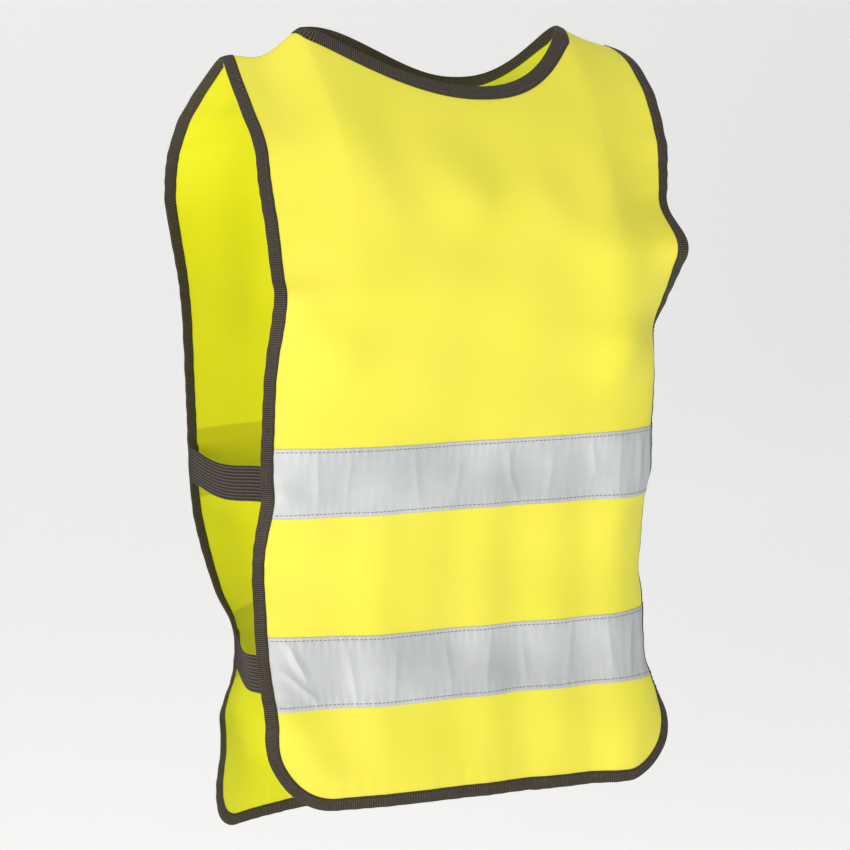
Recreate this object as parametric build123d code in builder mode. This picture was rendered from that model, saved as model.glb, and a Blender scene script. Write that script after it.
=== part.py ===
from build123d import *
import math
import os

# A pull-over high visibility vest, all sizes in millimetres.
# The vest hangs as it does on a wearer: +Z is up, the front faces -Y, and the origin lies
# midway between the two points where the shoulder seams meet the neck opening.

# Panels, measured over the cloth as it hangs
panel_half_width = 156.0        # centre line to side edge, along the cloth
front_drop = 524.0              # neck points down to the front hem
back_drop = 569.0               # neck points down to the longer back hem
front_corner_radius = 46.0
back_corner_radius = 32.0
neck_half_width = 97.0
front_neck_drop = 41.0
back_neck_drop = 38.0
front_neck_shift = 16.0         # lowest place of the scoop, towards the wearer's left
back_neck_shift = 32.0
shoulder_fall = 17.3            # shoulder tip below the neck point
shoulder_setback = 12.6         # shoulder tip behind the neck point
shoulder_fade = 200.0           # drop over which the slope of the shoulder fades out
seam_gap = 4.0                  # room that the seam takes between front and back

# Depth of the hanging cloth before or behind the ridge: (drop, depth) at the centre and at
# the side edges. The front hangs unevenly, so its left and right edges differ.
front_centre = [(0, 0), (50, 52), (110, 86), (170, 98), (240, 88), (300, 80), (370, 72),
                (430, 78), (480, 90), (530, 98)]
front_left_side = [(0, 0), (13, 22), (32, 46), (65, 67), (115, 76), (160, 81), (208, 70),
                   (260, 63), (310, 57), (360, 48), (400, 51), (442, 61), (480, 77), (530, 90)]
front_right_side = [(0, 0), (14, 17), (32, 38), (64, 60), (115, 73), (165, 80), (210, 71),
                    (260, 63), (310, 58), (358, 48), (400, 52), (440, 61), (480, 76), (530, 89)]
back_centre = [(0, 0), (40, 36), (90, 86), (130, 104), (200, 104), (300, 94), (400, 82),
               (440, 76), (500, 73), (570, 76)]
back_side = [(0, 0), (16, 28), (33, 55), (55, 84), (80, 98), (115, 99), (170, 85), (236, 72),
             (300, 62), (350, 53), (400, 33), (440, 20), (480, 22), (520, 27), (570, 31)]
front_wrap = 3.0                # how sharply the front turns towards its sides
back_wrap = 2.2

# Cloth layers, as distances out from the middle of the panel cloth
cloth = 0.6                     # panel knit
layer_gap = 0.25                # named clearance between sewn layers
tape_thickness = 0.3
binding_thickness = 0.6
thread_thickness = 0.3
elastic_thickness = 1.2

# Trims
binding_width = 8.0             # seen width on each face
binding_fold = 1.0              # how far the fold stands past the cloth edge
tape_width = 48.0
tape_tuck = 4.0                 # tape end hidden under the binding
front_tape_levels = (302.0, 433.0)      # drop to the middle of each tape
back_tape_levels = (309.0, 434.0)
elastic_width = 24.0
elastic_tab = 14.0              # elastic end sewn to the inside of a panel
elastic_bow = 6.0               # outward bow of an elastic between the panels
stitch_inset = 2.2              # stitching row to the edge that it holds
thread_width = 0.5
bartack_width = 1.6
bartack_height = 20.0
bartack_gap = 0.5               # over the binding, whose outer face is not quite even
seam_height = 3.0
seam_width = 3.2                # bundle between the panel edges
seam_core = 1.3                 # narrower where the folded bindings run through

# Fineness of the surfaces
neck_power = 2.2                # the scoop is a little flatter than a parabola
neck_columns = 11
slope_step = 0.5                # short step for the slope of the scoop
shoulder_column = 15.0
neck_steps = 12
sheet_rows = 32                 # the same rows in a panel and its edge binding
strip_row = 10.0
bartack_rows = 4

FRONT = -1
BACK = 1
drops = {FRONT: front_drop, BACK: back_drop}
neck_drops = {FRONT: front_neck_drop, BACK: back_neck_drop}
corners = {FRONT: front_corner_radius, BACK: back_corner_radius}
neck_shifts = {FRONT: front_neck_shift, BACK: back_neck_shift}
centres = {FRONT: front_centre, BACK: back_centre}
wraps = {FRONT: front_wrap, BACK: back_wrap}
shoulder_arc = panel_half_width - neck_half_width
shoulder_run = math.sqrt(shoulder_arc ** 2 - shoulder_setback ** 2 - shoulder_fall ** 2)

panel_out = cloth / 2
tape_low = panel_out + layer_gap
tape_thread_low = tape_low + tape_thickness + layer_gap
binding_low = tape_thread_low
binding_out = binding_low + binding_thickness
binding_thread_low = binding_out + layer_gap / 2
binding_in = -(panel_out + layer_gap + binding_thickness)
elastic_out = binding_in - 3 * layer_gap


def smooth(share):
    """0 to 1 with level ends."""
    share = min(max(share, 0.0), 1.0)
    return share * share * (3 - 2 * share)


def through(knots, at):
    """Smooth curve through (position, value) knots: cubic pieces, each end slope the
    weighted mean of its two neighbours."""
    def slope(index):
        low = max(index - 1, 0)
        high = min(index + 1, len(knots) - 1)
        return (knots[high][1] - knots[low][1]) / (knots[high][0] - knots[low][0])
    last = len(knots) - 2
    index = 0
    while index < last and at > knots[index + 1][0]:
        index += 1
    (start, low), (end, high) = knots[index], knots[index + 1]
    span = end - start
    t = (at - start) / span
    if at > knots[-1][0]:
        return high + slope(len(knots) - 1) * (at - end)
    bend_in = slope(index) * span
    bend_out = slope(index + 1) * span
    return (low * (1 + 2 * t) * (1 - t) ** 2 + bend_in * t * (1 - t) ** 2
            + high * t * t * (3 - 2 * t) - bend_out * t * t * (1 - t))


def hang(side, across, drop):
    """Point of the hanging cloth: across is measured over the cloth from the centre line,
    drop is measured down from the shoulder ridge."""
    edge = back_side
    if side == FRONT:
        edge = front_left_side if across > 0 else front_right_side
    wrap = wraps[side]
    fade = 1 - smooth(drop / shoulder_fade)
    beyond = max(0.0, abs(across) - neck_half_width) / shoulder_arc
    reach = abs(across) / panel_half_width
    bulge = through(centres[side], drop)
    lean = bulge - through(edge, drop)
    depth = bulge - lean * reach ** wrap
    # the cloth keeps its width, so it comes in sideways as it turns towards the back
    steps = 12
    flat = 0.0
    for step in range(steps):
        middle = (step + 0.5) / steps * reach
        turn = lean * wrap * middle ** (wrap - 1) / panel_half_width
        flat += math.sqrt(max(0.05, 1 - turn * turn)) * abs(across) / steps
    ridge = min(abs(across), neck_half_width) + beyond * shoulder_run
    x = ridge * fade + flat * (1 - fade)
    y = shoulder_setback * beyond * fade + side * (depth + seam_gap / 2)
    z = -(drop + shoulder_fall * beyond * fade)
    return Vector(math.copysign(x, across), y, z)


def outward(side, across, drop):
    """Unit normal of the hanging cloth, away from the wearer."""
    step = 0.5
    low = max(drop - step, 0.0)
    along = hang(side, across + step, drop) - hang(side, across - step, drop)
    down = hang(side, across, drop + step) - hang(side, across, low)
    normal = along.cross(down).normalized()
    return normal if normal.Y * side > 0 else -normal


def off_cloth(side, across, drop, out):
    """Point a set distance out from the middle of the panel cloth."""
    return hang(side, across, drop) + outward(side, across, drop) * out


def ruled(first, second):
    return Face.make_surface_from_curves(first, second)


def closed_sheet(columns):
    """Solid sheet from columns of (outer line, inner line): ruled from column to column, and
    closed along its four edges."""
    outer = [Edge.make_spline(column[0]) for column in columns]
    inner = [Edge.make_spline(column[1]) for column in columns]
    faces = [ruled(outer[0], inner[0]), ruled(outer[-1], inner[-1])]
    for i in range(len(columns) - 1):
        faces.append(ruled(outer[i], outer[i + 1]))
        faces.append(ruled(inner[i], inner[i + 1]))
        for end in (0, -1):
            near = Edge.make_line(columns[i][0][end], columns[i + 1][0][end])
            far = Edge.make_line(columns[i][1][end], columns[i + 1][1][end])
            faces.append(ruled(near, far))
    return Solid(Shell(faces))


def neck_edge(side, across):
    """Drop of the neck scoop's edge at a place across the panel: a flattened parabola whose
    lowest place is shifted to one side."""
    reach = max(-1.0, min(across / neck_half_width, 1.0))
    share = abs(reach - neck_shifts[side] / neck_half_width * (1 - reach * reach))
    return neck_drops[side] * (1 - min(share, 1.0) ** neck_power)


def panel_sheet(side):
    """The panel between its scoop or shoulder and its hem with two round corners."""
    radius = corners[side]
    corner = panel_half_width - radius
    marks = [neck_half_width * column / neck_columns for column in range(neck_columns + 1)]
    marks += [corner + radius * math.sin(math.radians(angle)) for angle in range(0, 91, 10)]
    gaps = max(1, round((corner - neck_half_width) / shoulder_column))
    marks += [neck_half_width + (corner - neck_half_width) * gap / gaps for gap in range(1, gaps)]
    marks = sorted(marks)
    columns = []
    for s in [-mark for mark in reversed(marks[1:])] + marks:
        top = neck_edge(side, s)
        past = max(0.0, abs(s) - corner)
        bottom = drops[side] - radius + math.sqrt(radius ** 2 - past ** 2)
        spread = [top + (bottom - top) * (row / sheet_rows) ** 1.5
                  for row in range(sheet_rows + 1)]
        columns.append(([off_cloth(side, s, drop, panel_out) for drop in spread],
                        [off_cloth(side, s, drop, -panel_out) for drop in spread]))
    return closed_sheet(columns)


def side_path(side, inset):
    """(across, drop) down one side, along the hem and up the other, inset from the edge."""
    reach = panel_half_width - inset
    bottom = drops[side] - inset
    radius = corners[side] - inset
    straight = bottom - radius
    down = [(reach, straight * (row / sheet_rows) ** 1.5) for row in range(sheet_rows)]
    for angle in range(0, 91, 10):
        turn = math.radians(angle)
        down.append((reach - radius + radius * math.cos(turn),
                     straight + radius * math.sin(turn)))
    hem = [((reach - radius) * share, bottom) for share in (0.75, 0.5, 0.25, 0.0)]
    down += hem
    return down + [(-s, drop) for s, drop in reversed(down[:-1])]


def neck_path(side, inset):
    """(across, drop) along the neck scoop, inset square to its edge, and no higher than the
    ridge where the scoop ends."""
    path = []
    last = neck_half_width - slope_step
    for step in range(-neck_steps, neck_steps + 1):
        s = neck_half_width * math.sin(math.pi / 2 * step / neck_steps)
        middle = max(-last, min(s, last))
        rise = neck_edge(side, middle + slope_step) - neck_edge(side, middle - slope_step)
        slope = rise / (2 * slope_step)
        turn = math.hypot(slope, 1.0)
        path.append((s - inset * slope / turn, max(0.0, neck_edge(side, s) + inset / turn)))
    return path


def on_path(path, side, inset, out):
    return [off_cloth(side, s, drop, out) for s, drop in path(side, inset)]


def folded_binding(path, side):
    """Binding folded over an edge: outer leg, fold and inner leg."""
    section = [(binding_width, binding_out), (-binding_fold, binding_out),
               (-binding_fold, binding_in), (binding_width, binding_in),
               (binding_width, binding_in + binding_thickness),
               (-layer_gap, binding_in + binding_thickness),
               (-layer_gap, binding_low), (binding_width, binding_low)]
    lines = [on_path(path, side, inset, out) for inset, out in section]
    return closed_fold(lines)


def closed_fold(lines):
    """Solid of a folded section: eight long lines, and three end faces at each end."""
    curves = [Edge.make_spline(line) for line in lines]
    faces = [ruled(curves[i], curves[(i + 1) % 8]) for i in range(8)]
    for end in (0, -1):
        for near, far in (((0, 1), (7, 6)), ((1, 2), (6, 5)), ((2, 3), (5, 4))):
            faces.append(ruled(Edge.make_line(lines[near[0]][end], lines[near[1]][end]),
                               Edge.make_line(lines[far[0]][end], lines[far[1]][end])))
    return Solid(Shell(faces))


def thread_row(path, side):
    """One row of stitching on a binding, near the edge away from the fold."""
    far = binding_width - stitch_inset
    near = far - thread_width
    low, high = binding_thread_low, binding_thread_low + thread_thickness
    return closed_sheet([(on_path(path, side, inset, high), on_path(path, side, inset, low))
                         for inset in (near, far)])


def level_strip(side, across, levels, low, thickness, steps):
    """Strip laid level on a panel, between two places across and two drops."""
    left, right = across
    places = [left + (right - left) * step / steps for step in range(steps + 1)]
    rows = max(1, round((levels[1] - levels[0]) / strip_row))
    drops_at = [levels[0] + (levels[1] - levels[0]) * row / rows for row in range(rows + 1)]
    columns = []
    for drop in drops_at:
        columns.append(([off_cloth(side, s, drop, low + thickness) for s in places],
                        [off_cloth(side, s, drop, low) for s in places]))
    return closed_sheet(columns)


def binding_face(side, hand, inset, drop, lift):
    """Point lifted off the edge binding's outer face, which runs straight across its width."""
    near = off_cloth(side, hand * (panel_half_width - binding_width), drop, binding_out + lift)
    far = off_cloth(side, hand * (panel_half_width + binding_fold), drop, binding_out + lift)
    return near + (far - near) * (binding_width - inset) / (binding_width + binding_fold)


def bartack(side, hand, level):
    """Block of dense stitching along the middle of the edge binding, level with an elastic."""
    top = level - bartack_height / 2
    columns = []
    for step in range(bartack_rows + 1):
        drop = top + bartack_height * step / bartack_rows
        low, high = ([binding_face(side, hand, binding_width / 2 + shift, drop, lift)
                      for shift in (bartack_width / 2, 0, -bartack_width / 2)]
                     for lift in (bartack_gap, bartack_gap + thread_thickness))
        columns.append((high, low))
    return closed_sheet(columns)


def piece_name(side, rest):
    return ("front_" if side == FRONT else "back_") + rest


def save(builder, name):
    builder.part.label = name
    export_step(builder.part, "parts/" + name + ".step")


os.makedirs("parts", exist_ok=True)
for side in (FRONT, BACK):
    tape_levels = front_tape_levels if side == FRONT else back_tape_levels

    # Panel of knitted cloth, with the neck scoop cut out
    with BuildPart() as panel:
        add(panel_sheet(side))
    save(panel, piece_name(side, "panel"))

    # Bindings folded over the sides and hem and over the neck scoop, each with a row of stitches
    for path, place in ((side_path, "edge"), (neck_path, "neck")):
        with BuildPart() as binding:
            add(folded_binding(path, side))
        save(binding, piece_name(side, place + "_binding"))
        with BuildPart() as stitching:
            add(thread_row(path, side))
        save(stitching, piece_name(side, place + "_stitching"))

    # Reflective tapes, tucked under the edge binding at both ends, and their stitching
    for level, height in zip(tape_levels, ("upper", "lower")):
        top = level - tape_width / 2
        bottom = level + tape_width / 2
        end = panel_half_width - binding_width + tape_tuck
        with BuildPart() as tape:
            add(level_strip(side, (-end, end), (top, bottom), tape_low, tape_thickness, 16))
        save(tape, piece_name(side, height + "_reflective_tape"))
        end = panel_half_width - binding_width - thread_width
        with BuildPart() as tape_stitching:
            for row in (top + stitch_inset, bottom - stitch_inset - thread_width):
                add(level_strip(side, (-end, end), (row, row + thread_width),
                                tape_thread_low, thread_thickness, 16))
        save(tape_stitching, piece_name(side, height + "_tape_stitching"))

    # Bar-tacks through the binding where each elastic end is held
    with BuildPart() as bartacks:
        for level in tape_levels:
            for hand in (-1, 1):
                add(bartack(side, hand, level))
    save(bartacks, piece_name(side, "strap_bartacks"))


def elastic_row(hand, front_level, back_level, depth):
    """Points along one level of an elastic: sewn tab inside the front, free span, sewn tab
    inside the back. The free span leaves each tab in line with it."""
    def tab(side, level, inset):
        s = hand * (panel_half_width - inset)
        return hang(side, s, level) + outward(side, s, level) * depth
    insets = [elastic_tab, elastic_tab * 0.6, elastic_tab * 0.3, 0.0]
    front_tab = [tab(FRONT, front_level, inset) for inset in insets]
    back_tab = [tab(BACK, back_level, inset) for inset in reversed(insets)]
    start, end = front_tab[-1], back_tab[0]
    bow = Vector(hand * (elastic_bow + depth - elastic_out), 0, 0)
    free = []
    spans = 8
    for step in range(1, spans):
        share = step / spans
        free.append(start + (end - start) * share + bow * math.sin(math.pi * share) ** 1.5)
    return front_tab + free + back_tab


# Elastic straps, two on each side, joining front and back
for hand, side_name in ((1, "left"), (-1, "right")):
    for index, height in enumerate(("upper", "lower")):
        columns = []
        for step in range(5):
            shift = elastic_width * (step / 4 - 0.5)
            levels = (front_tape_levels[index] + shift, back_tape_levels[index] + shift)
            columns.append((elastic_row(hand, *levels, elastic_out),
                            elastic_row(hand, *levels, elastic_out - elastic_thickness)))
        with BuildPart() as strap:
            add(closed_sheet(columns))
        save(strap, side_name + "_" + height + "_elastic_strap")

    # Shoulder seam: the overlocked bundle along the ridge between front and back
    neck_point = Vector(hand * neck_half_width, 0, 0)
    tip = Vector(hand * (neck_half_width + shoulder_run), shoulder_setback, -shoulder_fall)
    run = tip - neck_point
    along = run.normalized()
    start = neck_point + along * (binding_width + binding_fold)
    neck_plane = Plane(origin=neck_point, x_dir=along.cross(Vector(0, 0, 1)), z_dir=along)
    start_plane = Plane(origin=start, x_dir=neck_plane.x_dir, z_dir=along)
    with BuildPart() as seam:
        with BuildSketch(neck_plane):
            Rectangle(seam_core, seam_height)
        extrude(amount=run.length)
        with BuildSketch(start_plane):
            Rectangle(seam_width, seam_height)
        extrude(amount=run.length - 2 * (binding_width + binding_fold))
    save(seam, side_name + "_shoulder_seam")
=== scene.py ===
import bmesh
import bpy
import numpy as np
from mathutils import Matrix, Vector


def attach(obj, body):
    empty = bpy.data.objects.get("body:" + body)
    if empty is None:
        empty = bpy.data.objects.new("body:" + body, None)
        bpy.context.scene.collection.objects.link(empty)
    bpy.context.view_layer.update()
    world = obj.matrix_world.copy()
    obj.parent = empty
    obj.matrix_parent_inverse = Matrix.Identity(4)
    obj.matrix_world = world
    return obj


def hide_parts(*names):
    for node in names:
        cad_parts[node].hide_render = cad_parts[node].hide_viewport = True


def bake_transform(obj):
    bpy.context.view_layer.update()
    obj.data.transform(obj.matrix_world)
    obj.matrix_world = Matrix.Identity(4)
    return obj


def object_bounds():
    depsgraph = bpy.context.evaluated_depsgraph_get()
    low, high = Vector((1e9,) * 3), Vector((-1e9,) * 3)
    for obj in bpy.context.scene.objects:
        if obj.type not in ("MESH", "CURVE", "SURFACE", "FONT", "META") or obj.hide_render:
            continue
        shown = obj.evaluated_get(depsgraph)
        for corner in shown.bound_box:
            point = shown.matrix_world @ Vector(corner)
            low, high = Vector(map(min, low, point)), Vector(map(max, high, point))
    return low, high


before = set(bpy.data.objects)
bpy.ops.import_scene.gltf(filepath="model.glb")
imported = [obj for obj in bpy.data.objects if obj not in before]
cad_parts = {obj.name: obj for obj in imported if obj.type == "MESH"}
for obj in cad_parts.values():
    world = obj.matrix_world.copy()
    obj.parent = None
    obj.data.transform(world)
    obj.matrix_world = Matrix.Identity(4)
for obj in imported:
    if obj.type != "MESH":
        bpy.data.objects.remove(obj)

cad_box = [list(corner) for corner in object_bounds()]

# ---------------------------------------------------------------------------------------------
# Front and back panels: thin fluorescent yellow polyester knit, cut flat with a neck scoop and
# two round hem corners. Each hangs from the shoulder seams, is held in at the sides by the
# elastics, and falls free below them.
FRONT, BACK = -1, 1
HALF = 0.156                     # centre line to side edge, over the cloth
NECK_HALF = 0.097
SHOULDER = np.array([0.055, 0.0126, -0.0173])    # neck point to shoulder tip
HEM = {FRONT: 0.524, BACK: 0.569}
SCOOP = {FRONT: 0.0405, BACK: 0.038}
SCOOP_SHIFT = {FRONT: 0.018, BACK: 0.040}        # lowest place, towards the wearer's left
CORNER = {FRONT: 0.046, BACK: 0.032}
RIDGE_SAG = {1: 0.0015, -1: 0.009}               # how far a shoulder seam sags at its middle
TIP_SAG = {1: 0.0, -1: 0.004}
RIDGE_ROUND = 0.005              # how round the cloth goes over the shoulder
RIDGE_GAP = 0.0004
RIDGE_EASE = 0.006               # how gently the ridge bends at the neck points
RIDGE_FADE = 0.08                # drop over which the sag of the seam dies out
SHOULDER_FADE = 0.200            # drop over which the slope of the shoulder fades out
TAPE_WIDTH = 0.048
TAPES = {FRONT: (0.302, 0.433), BACK: (0.309, 0.434)}
TAPE_NAMES = ("upper", "lower")
# Depth of the cloth before or behind the ridge: (drop, depth) down the centre line and down the
# two side edges, 1 being the wearer's left and -1 the right, in millimetres
CENTRE = {FRONT: [(0, 0), (50, 52), (110, 86), (170, 98), (240, 88), (300, 80), (370, 72),
                  (430, 78), (480, 90), (530, 98)],
          BACK: [(0, 0), (36, 18), (60, 48), (90, 82), (130, 104), (200, 104), (300, 94),
                 (400, 82), (440, 76), (500, 73), (570, 76)]}
SIDE = {(FRONT, 1): [(0, 0), (4, 20), (10, 36), (31, 60), (69, 75), (100, 71), (118, 70),
                     (143, 98), (153, 94), (166, 82), (185, 70), (204, 62), (261, 62), (305, 57),
                     (321, 52), (367, 47), (384, 46), (401, 53), (448, 56), (476, 76), (495, 87),
                     (530, 92)],
        (FRONT, -1): [(0, 0), (12, 10), (29, 27), (60, 55), (76, 59), (135, 72), (155, 77),
                      (171, 86), (190, 75), (215, 67), (245, 63), (313, 65), (333, 52), (347, 43),
                      (359, 38), (384, 48), (411, 56), (423, 61), (463, 72), (483, 72), (502, 83),
                      (530, 89)],
        (BACK, 1): [(0, 0), (16, 28), (33, 55), (55, 84), (80, 98), (120, 99), (172, 82),
                    (236, 72), (264, 69), (320, 62), (347, 57), (374, 45), (400, 32), (413, 21),
                    (433, 16), (455, 16), (481, 25), (506, 24), (529, 29), (575, 31)]}
SIDE[BACK, -1] = SIDE[BACK, 1]
WRAP = {FRONT: 3.0, BACK: 2.2}
BELT_WRAP = 6.0                  # extra sharpness of the front's left side at the tapes
# Soft folds: start (across, drop), end (across, drop), half width, height, all in millimetres
FOLDS = {FRONT: [(-60, 75, 10, 120, 16, 2.2), (-95, 40, -70, 150, 15, 1.6),
                 (80, 60, 105, 230, 16, 3.0), (40, 85, 85, 170, 14, 1.5),
                 (-78, 255, -84, 540, 13, 1.8), (-30, 270, -40, 560, 16, 1.3),
                 (18, 260, 8, 560, 13, 1.7), (62, 240, 52, 560, 15, 1.8),
                 (104, 250, 112, 560, 14, 2.4), (-150, 170, -90, 230, 13, 2.2),
                 (150, 165, 95, 250, 14, 3.2), (-156, 440, -95, 520, 13, 2.4),
                 (156, 440, 100, 540, 14, 2.8), (-156, 300, -100, 352, 12, 1.8),
                 (156, 300, 95, 362, 12, 2.2)],
         BACK: [(60, 60, -10, 110, 18, 2.0), (-90, 60, -95, 240, 17, 2.2),
                (85, 60, 100, 260, 17, 2.0), (-60, 230, -50, 590, 15, 1.8),
                (-8, 220, 5, 590, 16, 1.5), (55, 240, 60, 590, 14, 2.0),
                (-156, 440, -90, 540, 14, 3.0), (156, 440, 90, 560, 14, 3.0),
                (-156, 311, -90, 360, 13, 2.0), (156, 311, 90, 370, 13, 2.0)]}


def profile(knots, spread):
    """Depth against drop: straight runs between the knots, odd about the ridge and carried
    straight on past the last knot, averaged over a bell of the given spread."""
    at, value = np.array(knots).T / 1000
    step = 0.001
    grid = np.arange(-60, int(at[-1] * 1000) + 60) * step
    table = np.sign(grid) * np.interp(np.abs(grid), at, value)
    slope = (value[-1] - value[-2]) / (at[-1] - at[-2])
    table = np.where(grid > at[-1], value[-1] + (grid - at[-1]) * slope, table)
    weights = np.exp(-0.5 * (np.arange(-30, 31) * step / spread) ** 2)
    padded = np.pad(table, 30, mode="reflect", reflect_type="odd")
    table = np.convolve(padded, weights / weights.sum(), mode="valid")
    return lambda drop: np.interp(drop, grid, table)


centre_depth = {side: profile(CENTRE[side], 0.010) for side in (FRONT, BACK)}
side_depth = {key: profile(SIDE[key], 0.0045) for key in SIDE}


def smoothstep(x):
    x = np.clip(x, 0, 1)
    return x * x * (3 - 2 * x)


def bell(x, middle, width):
    return np.exp(-0.5 * ((x - middle) / width) ** 2)


def depth(side, s, d):
    """Depth of the smooth cloth from the ridge: centre depth, less the lean of the side it is
    nearer to, times a power of the reach across. The elastics pull the wearer's left side of the
    front round more sharply, so its power is higher at the tapes."""
    reach = np.abs(s) / HALF
    left = 1 / (1 + np.exp(-s / 0.02))
    edge = left * side_depth[side, 1](d) + (1 - left) * side_depth[side, -1](d)
    wrap = WRAP[side]
    if side == FRONT:
        wrap = wrap + BELT_WRAP * left * smoothstep((d - 0.19) / 0.05)
    return centre_depth[side](d) - (centre_depth[side](d) - edge) * reach ** wrap


def soft_folds(side, s, d):
    """Height of the folds: each is a rounded ridge, a bell across its line and fading at both
    ends, over a slow uneven swell of the cloth."""
    height = np.zeros(np.broadcast(s, d).shape)
    for s0, d0, s1, d1, width, high in np.array(FOLDS[side]) / 1000:
        along = np.array([s1 - s0, d1 - d0])
        length = np.hypot(*along)
        along = along / length
        t = ((s - s0) * along[0] + (d - d0) * along[1]) / length
        off = (s - s0) * along[1] - (d - d0) * along[0]
        off = off + 0.006 * np.sin(3 * t + 40 * s0)
        height = height + high * bell(off, 0, width) * np.exp(-((t - 0.5) / 0.42) ** 4)
    swell = (np.sin(31 * s + 17 * d + side) * np.sin(23 * d - 12 * s)
             + 0.6 * np.sin(63 * s - 41 * d + 2 * side) * np.sin(52 * d + 29 * s))
    return 2.3 * height + 0.0017 * swell * np.clip(d / 0.08, 0, 1)


def puckers(side, s, d):
    """Small ripples along the sewn edges, dying out within a centimetre or two."""
    to_edge = np.minimum(HALF - np.abs(s), HEM[side] - d)
    along = np.where(HALF - np.abs(s) < HEM[side] - d, d, s)
    wave = np.sin(430 * along + 2 * np.sin(70 * along)) + 0.6 * np.sin(260 * along + 1.3)
    return 0.00035 * wave * np.exp(-np.clip(to_edge, 0, 1) / 0.013) * np.clip(d / 0.03, 0, 1)


def cloth(side, s, d):
    """Point of the hanging cloth, s across from the centre line and d down from the ridge. The
    cloth keeps its width, so x is the sum of what each step across has left after turning."""
    s, d = np.broadcast_arrays(np.asarray(s, float), np.asarray(d, float))
    down = np.maximum(d, 0)
    past = np.abs(s) - NECK_HALF
    beyond = 0.5 * (past + np.hypot(past, RIDGE_EASE))
    beyond -= 0.5 * (np.hypot(NECK_HALF, RIDGE_EASE) - NECK_HALF)
    beyond = beyond / np.linalg.norm(SHOULDER)
    fade = 1 - smoothstep(d / SHOULDER_FADE)
    steps = 16
    reach = np.zeros_like(s)
    for step in range(steps):
        at = s * (step + 0.5) / steps
        turn = (depth(side, at + 1e-4, down) - depth(side, at - 1e-4, down)) / 2e-4
        reach += np.sqrt(np.maximum(0.08, 1 - turn ** 2)) * s / steps
    ridge = np.sign(s) * (np.minimum(np.abs(s), NECK_HALF) + beyond * SHOULDER[0])
    x = ridge * fade + reach * (1 - fade)
    ease = smoothstep(d / 0.05)
    out = depth(side, s, d) + ease * (soft_folds(side, s, d) + puckers(side, s, d))
    y = SHOULDER[1] * beyond * fade + side * (out + RIDGE_GAP)
    sag = np.where(s > 0, RIDGE_SAG[1], RIDGE_SAG[-1])
    sag = sag * np.sin(np.pi * np.clip(beyond, 0, 1)) ** 2
    tip = (np.where(s > 0, TIP_SAG[1], TIP_SAG[-1]) - SHOULDER[2]) * beyond
    round_over = np.hypot(d, RIDGE_ROUND) - RIDGE_ROUND * np.exp(-down / (3 * RIDGE_ROUND))
    z = -(round_over * np.sign(d + 1e-9) + sag * (1 - smoothstep(d / RIDGE_FADE)) + tip * fade)
    return np.stack([x, y, z], -1)


def normal_at(side, s, d):
    """Unit normal of the cloth, away from the wearer, by small steps across and down."""
    step = 0.0006
    low = np.maximum(d - step, 0)
    across = cloth(side, s + step, d) - cloth(side, s - step, d)
    down = cloth(side, s, d + step) - cloth(side, s, low)
    n = np.cross(across, down)
    n /= np.linalg.norm(n, axis=-1, keepdims=True)
    return n * np.sign(n[..., 1:2] * side)


def off_cloth(side, s, d, out):
    """Point a distance out from the cloth."""
    s, d, out = np.broadcast_arrays(*(np.asarray(v, float) for v in (s, d, out)))
    return cloth(side, s, d) + normal_at(side, s, d) * out[..., None]


def new_piece(name, verts, faces, uv=None, smooth=True):
    """A mesh piece from arrays of points and of four-cornered faces, with a UV for each point."""
    verts = np.asarray(verts).reshape(-1, 3)
    faces = np.asarray(faces).reshape(-1, 4)
    mesh = bpy.data.meshes.new(name)
    mesh.from_pydata(verts.tolist(), [], faces.tolist())
    if uv is not None:
        layer = mesh.uv_layers.new(name="cloth")
        loops = np.empty(len(mesh.loops), np.int32)
        mesh.loops.foreach_get("vertex_index", loops)
        layer.data.foreach_set("uv", np.asarray(uv).reshape(-1, 2)[loops].ravel())
    mesh.polygons.foreach_set("use_smooth", [smooth] * len(mesh.polygons))
    mesh.update()
    piece = bpy.data.objects.new(name, mesh)
    bpy.context.collection.objects.link(piece)
    return piece


def grid_faces(rows, columns, closed_rows=False, flip=False):
    """Faces of a grid of points numbered row by row; closed_rows joins last row to first."""
    r = np.arange(rows if closed_rows else rows - 1)[:, None]
    c = np.arange(columns - 1)[None, :]
    nxt = (r + 1) % rows
    quads = np.stack([r * columns + c, nxt * columns + c, nxt * columns + c + 1,
                      r * columns + c + 1], -1).reshape(-1, 4)
    return quads[:, ::-1] if flip else quads


def neck_edge(side, s, inset=0.0):
    """Drop of the scoop's edge, a flattened parabola whose lowest place is shifted to one side,
    inset from the cloth edge."""
    reach = np.clip(s / (NECK_HALF + inset), -1, 1)
    share = np.abs(reach - SCOOP_SHIFT[side] / NECK_HALF * (1 - reach ** 2))
    return (SCOOP[side] + inset) * (1 - np.minimum(share, 1) ** 2.2)


def node_group(name, inputs, outputs, build):
    """Shader node group with named float inputs (name, value) and outputs (name, kind)."""
    group = bpy.data.node_groups.new(name, "ShaderNodeTree")
    for label, kind, value in inputs:
        socket = group.interface.new_socket(label, in_out="INPUT", socket_type=kind)
        if value is not None:
            socket.default_value = value
    for label, kind in outputs:
        group.interface.new_socket(label, in_out="OUTPUT", socket_type=kind)
    nodes, links = group.nodes, group.links
    build(nodes, links, nodes.new("NodeGroupInput"), nodes.new("NodeGroupOutput"))
    return group


def math_node(nodes, links, kind, a, b=None, c=None):
    node = nodes.new("ShaderNodeMath")
    node.operation = kind
    for socket, value in zip(node.inputs, (a, b, c)):
        if value is None:
            continue
        if isinstance(value, (int, float)):
            socket.default_value = value
        else:
            links.new(value, socket)
    return node.outputs[0]


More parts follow.
